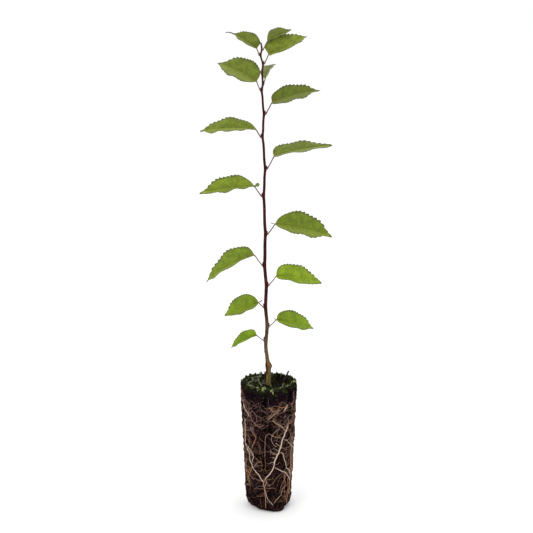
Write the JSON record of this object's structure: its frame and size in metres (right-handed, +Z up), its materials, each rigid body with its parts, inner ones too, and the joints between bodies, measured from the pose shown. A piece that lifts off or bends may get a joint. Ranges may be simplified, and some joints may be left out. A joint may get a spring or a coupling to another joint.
{
  "type": "eurasian aspen seedling",
  "caption": "Young eurasian aspen seedling with a slender upright stem and alternate toothed leaves on thin stalks, standing on its bare tapered peat root plug with moss on top.",
  "frame": {"origin": "centre of the root plug's flat underside", "axes": "+Z up along the stem; the leaves stand in two rows, to +X (right) and to -X (left); -Y is the front, the side that the picture shows"},
  "size_m": [0.1202, 0.0524, 0.451],
  "materials": {
    "peat": "matte",
    "bark": "satin",
    "leaf": "satin",
    "young_leaf": "satin",
    "root": "matte",
    "moss": "matte"
  },
  "bodies": {
    "root": {"root_plug": "peat", "stem": "bark", "leaf_01": "leaf", "leaf_02": "leaf", "leaf_03": "leaf", "leaf_04": "leaf", "leaf_05": "leaf", "leaf_06": "leaf", "leaf_07": "leaf", "leaf_08": "leaf", "leaf_09": "leaf", "leaf_10": "leaf", "leaf_11": "leaf", "leaf_12": "leaf", "leaf_13": "leaf", "leaf_14": "leaf", "leaf_15": "leaf", "tip_bud": "young_leaf", "root_01": "root", "root_02": "root", "root_03": "root", "root_04": "root", "root_05": "root", "root_06": "root", "root_07": "root", "root_08": "root", "root_09": "root", "root_10": "root", "root_11": "root", "root_12": "root", "root_13": "root", "root_14": "root", "root_15": "root", "root_16": "root", "moss_1": "moss", "moss_2": "moss", "moss_3": "moss", "moss_4": "moss", "moss_5": "moss", "moss_6": "moss", "twig": "bark"}
  },
  "joints": []
}
